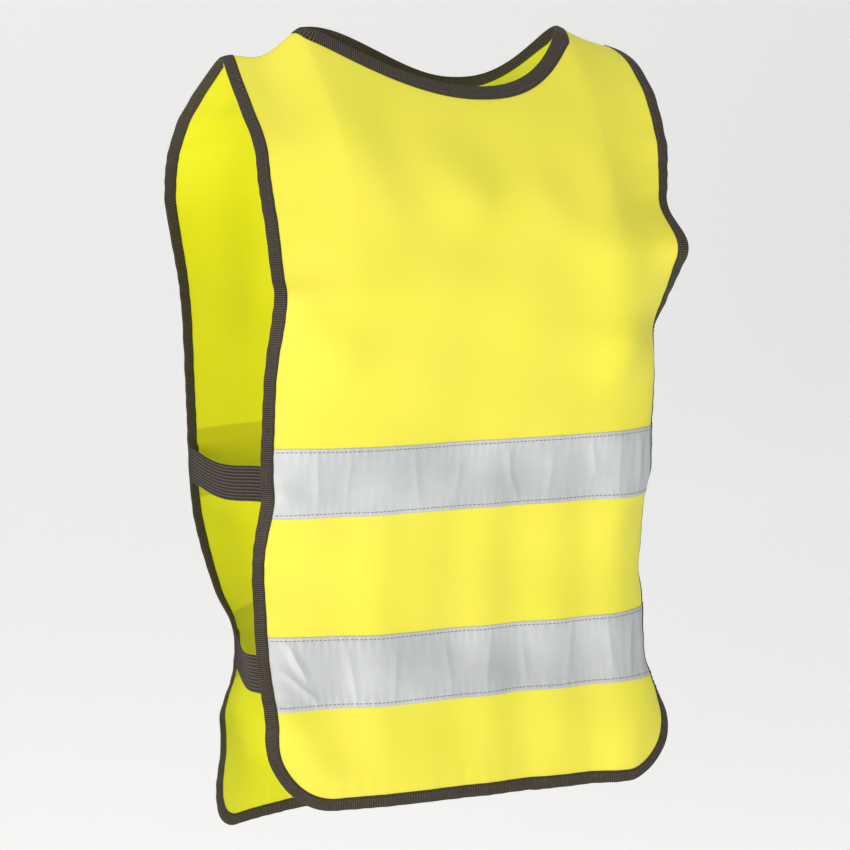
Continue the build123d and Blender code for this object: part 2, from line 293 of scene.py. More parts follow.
def build_knit(nodes, links, source, sink):
    """Rows of knitted loops: a wave across times a wave down that slants with the place across,
    roughened by a fine noise."""
    split = nodes.new("ShaderNodeSeparateXYZ")
    links.new(source.outputs["UV"], split.inputs[0])
    pitch = source.outputs["Pitch"]
    u = math_node(nodes, links, "DIVIDE", split.outputs[0], pitch)
    v = math_node(nodes, links, "DIVIDE", split.outputs[1], pitch)
    turn = 2 * np.pi
    columns = math_node(nodes, links, "SINE", math_node(nodes, links, "MULTIPLY", u, turn))
    shifted = math_node(nodes, links, "MULTIPLY_ADD", u, np.pi, 0.0)
    rows = math_node(nodes, links, "SINE",
                     math_node(nodes, links, "ADD",
                               math_node(nodes, links, "MULTIPLY", v, turn), shifted))
    loops = math_node(nodes, links, "MULTIPLY", columns, rows)
    noise = nodes.new("ShaderNodeTexNoise")
    noise.inputs["Scale"].default_value = 900
    links.new(source.outputs["UV"], noise.inputs["Vector"])
    height = math_node(nodes, links, "MULTIPLY_ADD", loops, 0.35, 0.5)
    height = math_node(nodes, links, "MULTIPLY_ADD", noise.outputs[0], 0.3, height)
    links.new(height, sink.inputs["Height"])


knit_group = node_group("knit loops", [("UV", "NodeSocketVector", None),
                                       ("Pitch", "NodeSocketFloat", 0.001)],
                        [("Height", "NodeSocketFloat")], build_knit)


def new_material(name, base, roughness):
    material = bpy.data.materials.new(name)
    material.use_nodes = True
    shader = material.node_tree.nodes["Principled BSDF"]
    shader.inputs["Base Color"].default_value = (*base, 1)
    shader.inputs["Roughness"].default_value = roughness
    return material, material.node_tree.nodes, material.node_tree.links, shader


def uv_node(nodes):
    node = nodes.new("ShaderNodeUVMap")
    node.uv_map = "cloth"
    return node.outputs[0]


def bump_into(nodes, links, shader, height, distance, strength=1.0):
    bump = nodes.new("ShaderNodeBump")
    bump.inputs["Strength"].default_value = strength
    bump.inputs["Distance"].default_value = distance
    links.new(height, bump.inputs["Height"])
    links.new(bump.outputs[0], shader.inputs["Normal"])


# Painted light: the outer face takes a paler, bluer lit copy of the yellow and the inner face a
# deeper, greener shaded copy.
YELLOW = (0.69, 0.575, 0.085)
YELLOW_SHADED_INSIDE = (0.62, 0.59, 0.012)      # painted shade: the inner face's deeper, greener shaded copy
YELLOW_TAPE_SHADE = (0.42, 0.43, 0.006)      # painted shade where the grey tape behind blocks the light through the thin knit


def panel_material(side):
    """Fluorescent knit: a yellow in slow clouds with a painted glow, a faint constant green emission
    for the fluorescence, and a pale sheen on the fibres. The inner face is painted as a deeper,
    greener shaded copy, with a darker band of painted shade where a tape lies behind it."""
    label = "front knit" if side == FRONT else "back knit"
    material, nodes, links, shader = new_material(label, YELLOW, 0.62)
    uv = uv_node(nodes)
    knit = nodes.new("ShaderNodeGroup")
    knit.node_tree = knit_group
    links.new(uv, knit.inputs["UV"])
    knit.inputs["Pitch"].default_value = 0.0011
    split = nodes.new("ShaderNodeSeparateXYZ")
    links.new(uv, split.inputs[0])
    masks = []
    for level in TAPES[side]:
        away = math_node(nodes, links, "ABSOLUTE",
                         math_node(nodes, links, "SUBTRACT", split.outputs[1], level))
        ramp = nodes.new("ShaderNodeMapRange")
        ramp.interpolation_type = "SMOOTHSTEP"
        ramp.inputs["From Min"].default_value = TAPE_WIDTH / 2 + 0.0012
        ramp.inputs["From Max"].default_value = TAPE_WIDTH / 2 - 0.0012
        links.new(away, ramp.inputs["Value"])
        masks.append(ramp.outputs[0])
    # Mask of the painted shade: where a tape lies behind the knit, on the inner face only.
    tape_shade_mask = math_node(nodes, links, "MAXIMUM", *masks)
    inner = nodes.new("ShaderNodeAttribute")
    inner.attribute_name = "inner_face"
    tape_shade_mask = math_node(nodes, links, "MULTIPLY", tape_shade_mask, inner.outputs["Fac"])
    cloud = nodes.new("ShaderNodeTexNoise")
    cloud.inputs["Scale"].default_value = 14
    links.new(uv, cloud.inputs["Vector"])
    tone = nodes.new("ShaderNodeMix")
    tone.data_type = "RGBA"
    tone.inputs["A"].default_value = (*YELLOW, 1)
    tone.inputs["B"].default_value = (0.62, 0.575, 0.050, 1)
    links.new(cloud.outputs[0], tone.inputs["Factor"])
    # Painted shade: the inner face is mixed to the shaded copy of the yellow.
    face = nodes.new("ShaderNodeMix")
    face.data_type = "RGBA"
    face.inputs["B"].default_value = (*YELLOW_SHADED_INSIDE, 1)
    links.new(tone.outputs["Result"], face.inputs["A"])
    links.new(inner.outputs["Fac"], face.inputs["Factor"])
    # Painted shade: darker where a tape lies behind the knit on the inner face.
    shade = nodes.new("ShaderNodeMix")
    shade.data_type = "RGBA"
    shade.inputs["B"].default_value = (*YELLOW_TAPE_SHADE, 1)
    links.new(face.outputs["Result"], shade.inputs["A"])
    links.new(math_node(nodes, links, "MULTIPLY", tape_shade_mask, 0.75), shade.inputs["Factor"])
    links.new(shade.outputs["Result"], shader.inputs["Base Color"])
    # Painted glow: a constant green emission, weaker where a tape lies behind, stands in for the
    # fluorescence.
    painted_glow = nodes.new("ShaderNodeMix")
    painted_glow.data_type = "RGBA"
    painted_glow.inputs["A"].default_value = (0.80, 1.0, 0.0, 1)
    painted_glow.inputs["B"].default_value = (0.55, 0.62, 0.0, 1)
    links.new(tape_shade_mask, painted_glow.inputs["Factor"])
    links.new(painted_glow.outputs["Result"], shader.inputs["Emission Color"])
    shader.inputs["Emission Strength"].default_value = 0.16
    shader.inputs["Sheen Weight"].default_value = 0.06
    shader.inputs["Sheen Roughness"].default_value = 0.5
    shader.inputs["Specular IOR Level"].default_value = 0.22
    bump_into(nodes, links, shader, knit.outputs["Height"], 0.00025, 0.5)
    return material


def panel_sheet(side, name):
    """Grid over the cut shape: columns are close together at the sides and at the neck points,
    rows run from the scoop or shoulder to the hem, whose corners are quarter circles."""
    inner_columns = np.linspace(0, NECK_HALF, 50)
    corner = CORNER[side]
    gap = np.linspace(NECK_HALF, HALF - corner, 8)[1:]
    turn = np.radians(np.linspace(0, 90, 34))[1:]
    corner_columns = HALF - corner + corner * np.sin(turn)
    half = np.concatenate([inner_columns, gap, corner_columns])
    columns = np.concatenate([-half[:0:-1], half])
    past = np.maximum(0, np.abs(columns) - (HALF - corner))
    bottom = HEM[side] - corner + np.sqrt(np.maximum(0, corner ** 2 - past ** 2))
    top = neck_edge(side, columns)
    share = np.linspace(0, 1, 210)[:, None] ** 1.15
    d = top + (bottom - top) * share
    s = np.broadcast_to(columns, d.shape)
    thick = 0.00025
    count = s.size
    outer = off_cloth(side, s, d, thick).reshape(-1, 3)
    inner = off_cloth(side, s, d, -thick).reshape(-1, 3)
    rows, cols = s.shape
    flip = side == BACK
    faces = [grid_faces(rows, cols, flip=flip), grid_faces(rows, cols, flip=not flip) + count]
    index = np.arange(count).reshape(rows, cols)
    rim = np.concatenate([index[0, :-1], index[:-1, -1], index[-1, :0:-1], index[:0:-1, 0]])
    ahead = np.roll(rim, -1)
    wall = np.stack([rim, ahead, ahead + count, rim + count], -1)
    faces.append(wall[:, ::-1] if flip else wall)
    uv = np.tile(np.stack([s, d], -1).reshape(-1, 2), (2, 1))
    panel = new_piece(name, np.concatenate([outer, inner]), np.concatenate(faces), uv)
    layer = panel.data.attributes.new("inner_face", "FLOAT", "POINT")
    layer.data.foreach_set("value", np.repeat([0.0, 1.0], count))
    panel.data.materials.append(panel_material(side))
    return panel


SIDE_NAMES = {FRONT: "front", BACK: "back"}


def follow(piece, side):
    """Back pieces ride on the back. Front pieces have their placing baked into their points, and
    ride on no body."""
    if side == BACK:
        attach(piece, "back")
    else:
        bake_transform(piece)


for side in (FRONT, BACK):
    panel = panel_sheet(side, SIDE_NAMES[side] + "_panel_cloth")
    follow(panel, side)
    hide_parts(SIDE_NAMES[side] + "_panel")

# ---------------------------------------------------------------------------------------------
# Bindings: dark ribbed polyester tape, folded in half lengthwise over the raw edges and
# stitched through. One runs down the sides and along the hem, one follows the neck scoop.
BINDING = 0.0078
FOLD = 0.0009
BINDING_THICK = 0.0005
LEG = 0.00035                    # cloth middle to the inside of a leg
OVER_TAPE = 0.0004               # extra height where a leg lies over a tape end
RIB_PITCH = 0.00125
NECK_TURN = 0.012                # run at a scoop's end over which the inset turns to the ridge
ELASTIC_SINK = 0.0012            # how far the inner leg is pushed in by an elastic's end


def edge_path(side, place):
    """Evenly spaced (across, drop) points along an edge of the cut, and the inward normals."""
    if place == "neck":
        s = np.sin(np.linspace(-1, 1, 2001) * np.pi / 2) * NECK_HALF
        dense = np.stack([s, neck_edge(side, s)], -1)
    else:
        corner = CORNER[side]
        straight = HEM[side] - corner
        down = np.linspace(0, straight, 800)
        turn = np.radians(np.linspace(0, 90, 120))[1:]
        right = np.concatenate([
            np.stack([np.full(800, HALF), down], -1),
            np.stack([HALF - corner + corner * np.cos(turn),
                      straight + corner * np.sin(turn)], -1),
            np.stack([np.linspace(HALF - corner, 0, 200)[1:], np.full(199, HEM[side])], -1)])
        dense = np.concatenate([right, (right * [-1, 1])[::-1][1:]])
    run = np.concatenate([[0], np.cumsum(np.linalg.norm(np.diff(dense, axis=0), axis=1))])
    at = np.linspace(0, run[-1], int(run[-1] / 0.0016))
    path = np.stack([np.interp(at, run, dense[:, k]) for k in (0, 1)], -1)
    along = np.gradient(path, axis=0)
    along /= np.linalg.norm(along, axis=1, keepdims=True)
    inward = np.stack([along[:, 1], -along[:, 0]], -1)
    inward *= -1 if place == "edge" else 1
    if place == "neck":
        inward = np.where(inward[:, 1:] < 0, -inward, inward)
        to_end = np.minimum(at, at[-1] - at)[:, None]
        ridge = np.stack([np.sign(path[:, 0]), np.zeros(len(path))], -1)
        share = smoothstep(1 - to_end / NECK_TURN)
        inward = inward * (1 - share) + ridge * share
        inward /= np.linalg.norm(inward, axis=1, keepdims=True)
    return path, inward, at


def over_tape(side, d):
    """1 where a leg of the binding lies over the end of a reflective tape."""
    mask = 0
    for level in TAPES[side]:
        mask = mask + smoothstep((TAPE_WIDTH / 2 + 0.002 - np.abs(d - level)) / 0.002)
    return mask


def over_elastic(side, s, d):
    """1 where the inner leg at a side edge lies over the end of an elastic."""
    mask = 0
    for level in TAPES[side]:
        mask = mask + smoothstep((0.0138 - np.abs(d - level)) / 0.002)
    return mask * (np.abs(s) > 0.12)


def folded_section():
    """(inset, height) round the folded tape: outer leg, round fold, inner leg and back."""
    outside = LEG + BINDING_THICK
    turn = np.radians(np.linspace(90, -90, 9))
    outer = np.stack([FOLD * -np.cos(turn), outside * np.sin(turn)], -1)
    inner = np.stack([-0.4 * FOLD * np.cos(turn[::-1]), LEG * np.sin(turn[::-1])], -1)
    leg = np.array([[BINDING, LEG + 0.1 * BINDING_THICK], [BINDING - 0.0002, outside],
                    [0.66 * BINDING, outside], [0.33 * BINDING, outside]])
    lower = (leg * [1, -1])[::-1]
    return np.concatenate([leg, outer, lower, [[0.5 * BINDING, -LEG]], inner,
                           [[0.5 * BINDING, LEG]]])


def build_ribs(nodes, links, source, sink):
    """Fine ribs across a woven tape, uneven in strength, with flecks along it."""
    split = nodes.new("ShaderNodeSeparateXYZ")
    links.new(source.outputs["UV"], split.inputs[0])
    wave = math_node(nodes, links, "SINE", math_node(
        nodes, links, "MULTIPLY",
        math_node(nodes, links, "DIVIDE", split.outputs[0], source.outputs["Pitch"]),
        2 * np.pi))
    noise = nodes.new("ShaderNodeTexNoise")
    noise.inputs["Scale"].default_value = 350
    links.new(source.outputs["UV"], noise.inputs["Vector"])
    height = math_node(nodes, links, "MULTIPLY_ADD", wave, 0.5, 0.5)
    height = math_node(nodes, links, "MULTIPLY", height,
                       math_node(nodes, links, "MULTIPLY_ADD", noise.outputs[0], 0.7, 0.5))
    links.new(height, sink.inputs["Height"])


rib_group = node_group("tape ribs", [("UV", "NodeSocketVector", None),
                                     ("Pitch", "NodeSocketFloat", RIB_PITCH)],
                       [("Height", "NodeSocketFloat")], build_ribs)


def ribbed_material(name, low, high, pitch, distance):
    """Dark ribbed textile with painted shade: the grooves are darker and the ribs' tops lighter and
    browner.
    """
    material, nodes, links, shader = new_material(name, low, 0.72)
    ribs = nodes.new("ShaderNodeGroup")
    ribs.node_tree = rib_group
    links.new(uv_node(nodes), ribs.inputs["UV"])
    ribs.inputs["Pitch"].default_value = pitch
    tone = nodes.new("ShaderNodeMix")
    tone.data_type = "RGBA"
    tone.inputs["A"].default_value = (*low, 1)
    tone.inputs["B"].default_value = (*high, 1)
    links.new(ribs.outputs[0], tone.inputs["Factor"])
    links.new(tone.outputs["Result"], shader.inputs["Base Color"])
    shader.inputs["Sheen Weight"].default_value = 0.04
    shader.inputs["Specular IOR Level"].default_value = 0.2
    bump_into(nodes, links, shader, ribs.outputs[0], distance)
    return material


# The binding's grooves between the ribs take painted shade.
binding_material = ribbed_material("dark binding", (0.008, 0.006, 0.0045), (0.105, 0.090, 0.066),
                                   RIB_PITCH, 0.0003)


def folded_binding(side, place):
    """The folded section carried along an edge of the cut, closed at both ends."""
    path, inward, at = edge_path(side, place)
    section = folded_section()
    inset, high = section[:, 0][:, None], section[:, 1][:, None]
    s = path[:, 0] + inward[:, 0] * inset
    d = path[:, 1] + inward[:, 1] * inset
    lift = OVER_TAPE * over_tape(side, d) if place == "edge" else 0
    lift = lift * (high > LEG * 0.9) * smoothstep(inset / (0.4 * BINDING))
    if place == "edge":
        lift = lift - ELASTIC_SINK * over_elastic(side, s, d) * (high < -LEG * 0.9)
    d = np.maximum(d, 0)
    verts = off_cloth(side, s, d, high + lift)
    rows, cols = s.shape
    faces = grid_faces(rows, cols, closed_rows=True)
    last = cols - 1
    ends = []
    half = rows // 2
    outline = np.arange(rows)
    for column, flip in ((0, False), (last, True)):
        ring = outline * cols + column
        back = ring[::-1]
        fan = np.stack([ring[:half], ring[1:half + 1], back[:half], np.roll(back, 1)[:half]], -1)
        ends.append(fan[:, ::-1] if flip else fan)
    around = np.broadcast_to(np.cumsum(np.r_[0, np.linalg.norm(np.diff(section, axis=0),
                                                               axis=1)])[:, None], s.shape)
    uv = np.stack([np.broadcast_to(at, s.shape), around], -1)
    piece = new_piece(f"{SIDE_NAMES[side]}_{place}_binding_tape", verts,
                      np.concatenate([faces] + ends), uv)
    clean_normals(piece)
    piece.data.materials.append(binding_material)
    return piece


def clean_normals(piece):
    """Turns every face outwards."""
    mesh = bmesh.new()
    mesh.from_mesh(piece.data)
    bmesh.ops.recalc_face_normals(mesh, faces=mesh.faces)
    mesh.to_mesh(piece.data)
    mesh.free()


bindings = {}
for side in (FRONT, BACK):
    for place in ("edge", "neck"):
        piece = folded_binding(side, place)
        follow(piece, side)
        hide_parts(f"{SIDE_NAMES[side]}_{place}_binding")
        bindings[side, place] = piece

# ---------------------------------------------------------------------------------------------
# Stitching along the bindings: one row of lockstitch in dark polyester thread, sunk a little
# into the ribbed tape near its inner edge.
STITCH = 0.0030                  # stitch length, hole to hole
THREAD = 0.00032


def stitches(name, points, along, up, length, thickness):
    """Many short stitches in one mesh: each is a six-sided bead, thin at both ends and thick in
    the middle, turned to its own direction."""
    rings = np.array([-0.5, -0.36, 0.0, 0.36, 0.5])
    swell = np.array([0.25, 0.85, 1.0, 0.85, 0.25])
    dip = np.array([-0.7, -0.1, 0.25, -0.1, -0.7])
    angle = np.radians(np.arange(0, 360, 60))
    along = along / np.linalg.norm(along, axis=1, keepdims=True)
    up = up / np.linalg.norm(up, axis=1, keepdims=True)
    side_way = np.cross(up, along)
    ring_along = (rings * length)[:, None] * np.ones(6)
    ring_side = swell[:, None] * np.cos(angle) * thickness
    ring_up = (swell[:, None] * np.sin(angle) + dip[:, None]) * thickness
    verts = (points[:, None, None, :]
             + along[:, None, None, :] * ring_along[None, :, :, None]
             + side_way[:, None, None, :] * ring_side[None, :, :, None]
             + up[:, None, None, :] * ring_up[None, :, :, None])
    ring, corner = np.meshgrid(np.arange(4), np.arange(6), indexing="ij")
    nxt = (corner + 1) % 6
    one = np.stack([ring * 6 + corner, ring * 6 + nxt, (ring + 1) * 6 + nxt,
                    (ring + 1) * 6 + corner], -1).reshape(-1, 4)
    caps = np.array([[0, 5, 4, 3], [0, 3, 2, 1], [24, 25, 26, 27], [24, 27, 28, 29]])
    one = np.concatenate([one, caps])
    faces = one[None] + (np.arange(len(points)) * 30)[:, None, None]
    piece = new_piece(name, verts, faces)
    clean_normals(piece)
    return piece


def thread_material(name, base):
    """Twisted polyester thread: a fine slanted wave for the twist."""
    material, nodes, links, shader = new_material(name, base, 0.55)
    place = nodes.new("ShaderNodeTexCoord")
    wave = nodes.new("ShaderNodeTexWave")
    wave.bands_direction = "DIAGONAL"
    wave.inputs["Scale"].default_value = 1400
    links.new(place.outputs["Object"], wave.inputs["Vector"])
    shader.inputs["Sheen Weight"].default_value = 0.2
    bump_into(nodes, links, shader, wave.outputs["Fac"], 0.0001, 0.6)
    return material


dark_thread = thread_material("dark thread", (0.035, 0.026, 0.020))
grey_thread = thread_material("grey thread", (0.22, 0.19, 0.24))


def row_on_binding(side, place):
    path, inward, at = edge_path(side, place)
    far = BINDING - 0.0024
    middles = np.arange(0.004, at[-1] - 0.004, STITCH)
    s, d = (np.interp(middles, at, path[:, k] + inward[:, k] * far) for k in (0, 1))
    lift = OVER_TAPE * over_tape(side, d) if place == "edge" else 0
    high = LEG + BINDING_THICK + lift + 0.1 * THREAD
    points = off_cloth(side, s, d, high)
    ahead = np.gradient(points, axis=0)
    return points, ahead, normal_at(side, s, d)


for side in (FRONT, BACK):
    for place in ("edge", "neck"):
        piece = stitches(f"{SIDE_NAMES[side]}_{place}_lockstitch", *row_on_binding(side, place),
                         STITCH * 0.86, THREAD)
        piece.data.materials.append(dark_thread)
        follow(piece, side)
        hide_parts(f"{SIDE_NAMES[side]}_{place}_stitching")

# ---------------------------------------------------------------------------------------------
# Reflective tapes: 48 mm of silver cloth coated with glass beads, two on each panel, with both
# ends tucked under the edge binding. Lockstitched along both long edges.
TAPE_OUT = 0.00055
TAPE_END = HALF - 0.0045
TAPE_ROW = 0.0026                # stitching row to the tape's edge
# Creases: start (across, drop from the tape's middle), end, height, all in millimetres
CREASES = {"upper": [(-120, -24, -117, 24, 0.5), (-96, -25, -99, 20, 0.35), (-52, -25, -44, 25, 0.45),
                     (-12, -20, -20, 25, 0.4), (21, -25, 26, 15, 0.6), (24, 0, 34, 25, 0.5),
                     (58, -25, 55, 25, 0.45), (86, -25, 94, 10, 0.6), (112, -25, 110, 25, 0.5),
                     (132, -25, 128, 20, 0.9), (141, -25, 139, 22, 0.9)],
           "lower": [(-138, -25, -122, 10, 0.9), (-144, -5, -112, 25, 0.7), (-96, -25, -90, 25, 0.4),
                     (-60, -25, -66, 25, 0.5), (-24, -25, -19, 25, 0.4), (14, -25, 4, 25, 0.5),
                     (38, -15, 41, 25, 0.45), (76, -25, 70, 25, 0.5), (104, -25, 109, 25, 0.6),
                     (128, -25, 121, 25, 0.9), (140, -22, 134, 25, 0.9)]}


def crease_height(height, s, w):
    """Sharp little ridges: a tent across each line, faded near its ends, over the puckers that
    the two rows of stitching draw up."""
    rise = np.zeros_like(s)
    for s0, w0, s1, w1, high in np.array(CREASES[height]) / 1000:
        along = np.array([s1 - s0, w1 - w0])
        length = np.hypot(*along)
        along /= length
        t = ((s - s0) * along[0] + (w - w0) * along[1]) / length
        off = np.abs((s - s0) * along[1] - (w - w0) * along[0])
        fade = smoothstep(1.15 - np.abs(2 * t - 1))
        rise = rise + 1.5 * high * fade * np.clip(1 - off / 0.0055, 0, 1) ** 1.4
    to_row = np.abs(np.abs(w) - (TAPE_WIDTH / 2 - TAPE_ROW))
    pucker = 0.00016 * np.sin(2 * np.pi * s / 0.0065 + 3 * np.sin(60 * s)) * np.exp(-to_row / 0.006)
    sink = -0.00022 * np.exp(-(to_row / 0.0012) ** 2)
    slow = 0.0002 * np.sin(140 * s + 50 * w) * np.cos(55 * s - 90 * w)
    return np.maximum(rise + pucker + sink + slow + 0.0002, 0)


def tape_strip(side, height, level):
    s, w = np.meshgrid(np.linspace(-TAPE_END, TAPE_END, 420),
                       np.linspace(-TAPE_WIDTH / 2, TAPE_WIDTH / 2, 48))
    rise = crease_height(height, s, w)
    edge = smoothstep((TAPE_END - np.abs(s) - 0.004) / 0.006)
    outer = off_cloth(side, s, level + w, TAPE_OUT + rise * edge)
    inner = off_cloth(side, s, level + w, TAPE_OUT - 0.0002)
    rows, cols = s.shape
    count = s.size
    flip = side == BACK
    index = np.arange(count).reshape(rows, cols)
    rim = np.concatenate([index[0, :-1], index[:-1, -1], index[-1, :0:-1], index[:0:-1, 0]])
    ahead = np.roll(rim, -1)
    wall = np.stack([rim, ahead, ahead + count, rim + count], -1)
    faces = [grid_faces(rows, cols, flip=flip), grid_faces(rows, cols, flip=not flip) + count,
             wall[:, ::-1] if flip else wall]
    uv = np.tile(np.stack([s, w], -1).reshape(-1, 2), (2, 1))
    return new_piece(f"{SIDE_NAMES[side]}_{height}_silver_tape",
                     np.concatenate([outer.reshape(-1, 3), inner.reshape(-1, 3)]),
                     np.concatenate(faces), uv)


def silver_material():
    """Glass-beaded silver: a soft metallic grey, bluer and browner in slow clouds, with a fine
    grain of beads in its gloss and height."""
    material, nodes, links, shader = new_material("silver bead coating", (0.5, 0.54, 0.57), 0.5)
    uv = uv_node(nodes)
    cloud = nodes.new("ShaderNodeTexNoise")
    cloud.inputs["Scale"].default_value = 16
    cloud.inputs["Detail"].default_value = 3
    links.new(uv, cloud.inputs["Vector"])
    ramp = nodes.new("ShaderNodeValToRGB")
    ramp.color_ramp.elements[0].position = 0.3
    ramp.color_ramp.elements[0].color = (0.43, 0.46, 0.48, 1)
    ramp.color_ramp.elements[1].position = 0.72
    ramp.color_ramp.elements[1].color = (0.56, 0.595, 0.615, 1)
    links.new(cloud.outputs[0], ramp.inputs[0])
    links.new(ramp.outputs[0], shader.inputs["Base Color"])
    beads = nodes.new("ShaderNodeTexVoronoi")
    beads.inputs["Scale"].default_value = 2600
    links.new(uv, beads.inputs["Vector"])
    gloss = nodes.new("ShaderNodeMapRange")
    gloss.inputs["To Min"].default_value = 0.50
    gloss.inputs["To Max"].default_value = 0.70
    links.new(beads.outputs["Distance"], gloss.inputs["Value"])
    links.new(gloss.outputs[0], shader.inputs["Roughness"])
    shader.inputs["Metallic"].default_value = 0.22
    shader.inputs["Specular IOR Level"].default_value = 0.3
    bump_into(nodes, links, shader, beads.outputs["Distance"], 0.00008, 0.4)
    return material


silver = silver_material()
tapes = {}
for side in (FRONT, BACK):
    for height, level in zip(TAPE_NAMES, TAPES[side]):
        tape = tape_strip(side, height, level)
        tape.data.materials.append(silver)
        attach(tape, SIDE_NAMES[side])
        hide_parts(f"{SIDE_NAMES[side]}_{height}_reflective_tape")
        tapes[side, height] = tape
        middles = np.arange(-TAPE_END + 0.006, TAPE_END - 0.006, STITCH)
        rows = []
        for w in (-TAPE_WIDTH / 2 + TAPE_ROW, TAPE_WIDTH / 2 - TAPE_ROW):
            rise = crease_height(height, middles, np.full_like(middles, w))
            points = off_cloth(side, middles, level + w, TAPE_OUT + rise + 0.2 * THREAD)
            rows.append((points, np.gradient(points, axis=0),
                         normal_at(side, middles, np.full_like(middles, level + w))))
        piece = stitches(f"{SIDE_NAMES[side]}_{height}_tape_lockstitch",
                         *(np.concatenate(part) for part in zip(*rows)), STITCH * 0.8, THREAD)
        piece.data.materials.append(grey_thread)
        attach(piece, SIDE_NAMES[side])
        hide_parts(f"{SIDE_NAMES[side]}_{height}_tape_stitching")

# ---------------------------------------------------------------------------------------------
# Elastic straps: 24 mm ribbed knitted elastic, two on each side. Each end is sewn flat to the
# inside of a panel behind the edge binding, and the free part runs from front to back.
ELASTIC = 0.0245
ELASTIC_RIBS = 11
ELASTIC_THICK = 0.0011
TAB = 0.0066
INSIDE = -0.0004


def strap_path(hand, front_level, back_level, out):
    """Points along one thread of an elastic: a tab on the inside of the front, a free part that
    leaves both tabs in line with them and sags a little, and a tab on the inside of the back."""
    tab = hand * np.linspace(HALF - TAB, HALF - 0.0003, 5)
    front = off_cloth(FRONT, tab, front_level, out)
    back = off_cloth(BACK, tab[::-1], back_level, out)
    start, end = front[-1], back[0]
    leave = front[-1] - front[-2]
    arrive = back[1] - back[0]
    span = np.linalg.norm(end - start)
    leave = 0.25 * span * leave / np.linalg.norm(leave) + 0.5 * (end - start)
    arrive = 0.12 * span * arrive / np.linalg.norm(arrive) + 0.7 * (end - start)
    t = np.linspace(0, 1, 64)[1:-1, None]
    free = (start * (2 * t ** 3 - 3 * t ** 2 + 1) + leave * (t ** 3 - 2 * t ** 2 + t)
            + end * (-2 * t ** 3 + 3 * t ** 2) + arrive * (t ** 3 - t ** 2))
    free[:, 2] -= 0.004 * np.sin(np.pi * t[:, 0]) ** 2
    return np.concatenate([front, free, back])


def strap_mesh(name, hand, front_level, back_level):
    """The ribbed section is carried across the width: a rounded wave for each rib, front and
    back, and the thickness is closed round the edges."""
    per_rib = 6
    w = np.linspace(-0.5, 0.5, ELASTIC_RIBS * per_rib + 1)
    wave = np.abs(np.cos(np.pi * ELASTIC_RIBS * w)) ** 0.7
    edge = np.sqrt(np.clip(1 - (2 * np.abs(w)) ** 16, 0, 1))
    skin = [np.stack([strap_path(hand, front_level + ELASTIC * q, back_level + ELASTIC * q, out)
                      for q, out in zip(w, INSIDE - ELASTIC_THICK * 0.5
                                        + face * edge * ELASTIC_THICK * (0.24 + 0.26 * wave))])
            for face in (1, -1)]
    ring = np.concatenate([skin[0], skin[1][::-1]])
    rows, cols = ring.shape[:2]
    faces = grid_faces(rows, cols, closed_rows=True)
    half = rows // 2
    lines = np.arange(rows)
    ends = []
    for column in (0, cols - 1):
        ids = lines * cols + column
        ends.append(np.stack([ids[:half - 1], ids[1:half], ids[::-1][1:half], ids[::-1][:half - 1]],
                             -1))
    run = np.r_[0, np.cumsum(np.linalg.norm(np.diff(skin[0][len(w) // 2], axis=0), axis=1))]
    across = np.concatenate([w, w[::-1]]) * ELASTIC
    uv = np.stack(np.broadcast_arrays(run[None, :], across[:, None]), -1)
    piece = new_piece(name, ring, np.concatenate([faces] + ends), uv)
    clean_normals(piece)
    return piece


elastic_material, nodes, links, shader = new_material("dark elastic", (0.02, 0.014, 0.010), 0.75)
split = nodes.new("ShaderNodeSeparateXYZ")
swap = nodes.new("ShaderNodeCombineXYZ")
links.new(uv_node(nodes), split.inputs[0])
links.new(split.outputs["Y"], swap.inputs["X"])
links.new(split.outputs["X"], swap.inputs["Y"])
lengthwise = nodes.new("ShaderNodeGroup")
lengthwise.node_tree = rib_group
lengthwise.inputs["Pitch"].default_value = ELASTIC / ELASTIC_RIBS
links.new(swap.outputs[0], lengthwise.inputs["UV"])
crosswise = nodes.new("ShaderNodeGroup")
crosswise.node_tree = rib_group
crosswise.inputs["Pitch"].default_value = 0.0018
links.new(uv_node(nodes), crosswise.inputs["UV"])
dashes = math_node(nodes, links, "MULTIPLY", lengthwise.outputs[0],
                   math_node(nodes, links, "MULTIPLY_ADD", crosswise.outputs[0], 0.6, 0.55))
# Painted shade: the grooves between the ribs go near black and the ribs' tops lighter.
tone = nodes.new("ShaderNodeMix")
tone.data_type = "RGBA"
tone.inputs["A"].default_value = (0.010, 0.006, 0.005, 1)
tone.inputs["B"].default_value = (0.115, 0.088, 0.072, 1)
links.new(dashes, tone.inputs["Factor"])
links.new(tone.outputs["Result"], shader.inputs["Base Color"])
shader.inputs["Specular IOR Level"].default_value = 0.2
bump_into(nodes, links, shader, dashes, 0.0004)
for hand, name in ((1, "left"), (-1, "right")):
    for index, height in enumerate(TAPE_NAMES):
        strap = strap_mesh(f"{name}_{height}_elastic", hand, TAPES[FRONT][index],
                           TAPES[BACK][index])
        strap.data.materials.append(elastic_material)
        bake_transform(strap)
        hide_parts(f"{name}_{height}_elastic_strap")

